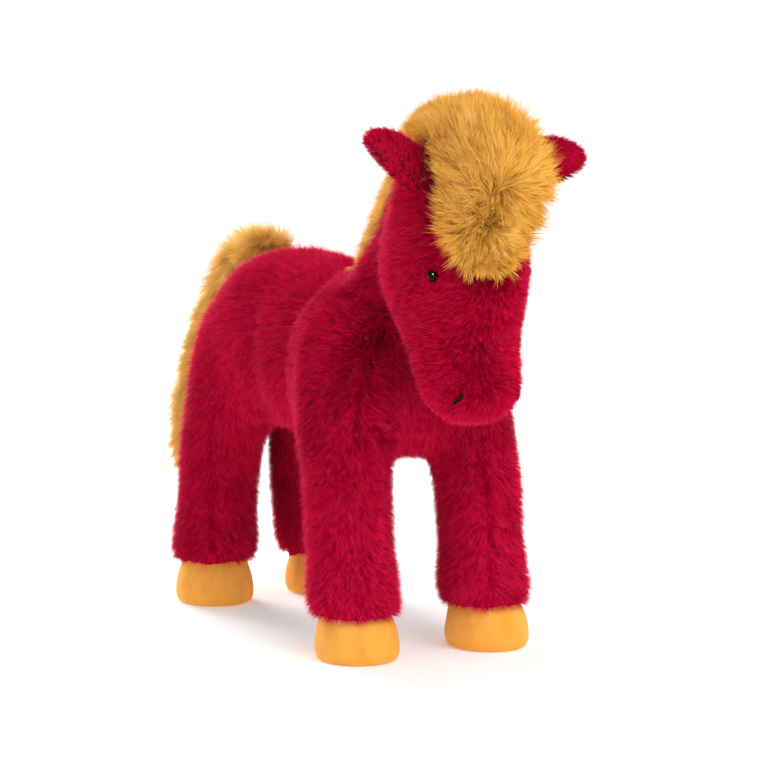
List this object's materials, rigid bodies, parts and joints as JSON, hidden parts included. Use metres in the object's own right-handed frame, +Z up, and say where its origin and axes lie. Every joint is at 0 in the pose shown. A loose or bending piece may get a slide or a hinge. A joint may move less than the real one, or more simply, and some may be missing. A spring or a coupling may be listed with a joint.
{
  "type": "plush horse",
  "caption": "Standing plush horse of sewn fur panels over stuffing, with suede-cloth hooves, button eyes, a long-pile mane, forelock and tail, and ears and tail that flex.",
  "frame": {"origin": "on the floor under the middle of the whole horse's box", "axes": "+Z up, nose towards -Y and tail towards +Y, the horse's left side towards +X"},
  "size_m": [0.1264, 0.3368, 0.2877],
  "materials": {
    "fur_crimson": "matte short pile",
    "pile_gold": "matte long pile",
    "suede_orange": "matte suede nap",
    "fill_white": "matte fibre filling",
    "bead_black": "polished",
    "washer_nylon": "moulded",
    "thread_black": "satin stitched thread"
  },
  "bodies": {
    "horse": {"front_left_leg_outer_panel": "fur_crimson", "front_left_leg_inner_panel": "fur_crimson", "front_left_hoof_wall": "suede_orange", "front_left_hoof_sole": "suede_orange", "front_left_leg_stuffing": "fill_white", "front_right_leg_outer_panel": "fur_crimson", "front_right_leg_inner_panel": "fur_crimson", "front_right_hoof_wall": "suede_orange", "front_right_hoof_sole": "suede_orange", "front_right_leg_stuffing": "fill_white", "hind_left_leg_outer_panel": "fur_crimson", "hind_left_leg_inner_panel": "fur_crimson", "hind_left_hoof_wall": "suede_orange", "hind_left_hoof_sole": "suede_orange", "hind_left_leg_stuffing": "fill_white", "hind_right_leg_outer_panel": "fur_crimson", "hind_right_leg_inner_panel": "fur_crimson", "hind_right_hoof_wall": "suede_orange", "hind_right_hoof_sole": "suede_orange", "hind_right_leg_stuffing": "fill_white", "chest_gusset": "fur_crimson", "belly_gusset": "fur_crimson", "torso_left_panel": "fur_crimson", "torso_right_panel": "fur_crimson", "torso_stuffing": "fill_white", "neck_stuffing": "fill_white", "face_gusset": "fur_crimson", "head_left_panel": "fur_crimson", "head_right_panel": "fur_crimson", "head_stuffing": "fill_white", "eye_left": "bead_black", "eye_right": "bead_black", "eye_washer_left": "washer_nylon", "eye_washer_right": "washer_nylon", "nostril_stitch_left": "thread_black", "nostril_stitch_right": "thread_black", "forelock": "pile_gold", "mane": "pile_gold"},
    "left_ear": {"ear_left_front_layer": "fur_crimson", "ear_left_back_layer": "fur_crimson"},
    "right_ear": {"ear_right_front_layer": "fur_crimson", "ear_right_back_layer": "fur_crimson"},
    "dock": {"tail_dock": "pile_gold"},
    "switch": {"tail_switch": "pile_gold"}
  },
  "joints": [
    {"name": "ear_left_flop", "type": "hinge", "parent": "horse", "child": "left_ear", "pos_m": [0.02235, -0.11791, 0.251], "axis": [-0.0938, 0.4412, 0.8925], "range_deg": [-20, 20], "stiffness_Nm_per_rad": 0.02},
    {"name": "ear_right_flop", "type": "hinge", "parent": "horse", "child": "right_ear", "pos_m": [-0.02865, -0.11791, 0.2485], "axis": [0.4232, 0.4879, 0.7634], "range_deg": [-20, 20], "stiffness_Nm_per_rad": 0.02},
    {"name": "tail_lift", "type": "hinge", "parent": "horse", "child": "dock", "pos_m": [-0.00315, 0.09509, 0.1965], "axis": [1, 0, 0], "range_deg": [0, 50]},
    {"name": "tail_swing", "type": "hinge", "parent": "dock", "child": "switch", "pos_m": [-0.00315, 0.13059, 0.19], "axis": [0, 1, 0], "range_deg": [-25, 25], "stiffness_Nm_per_rad": 0.1}
  ]
}
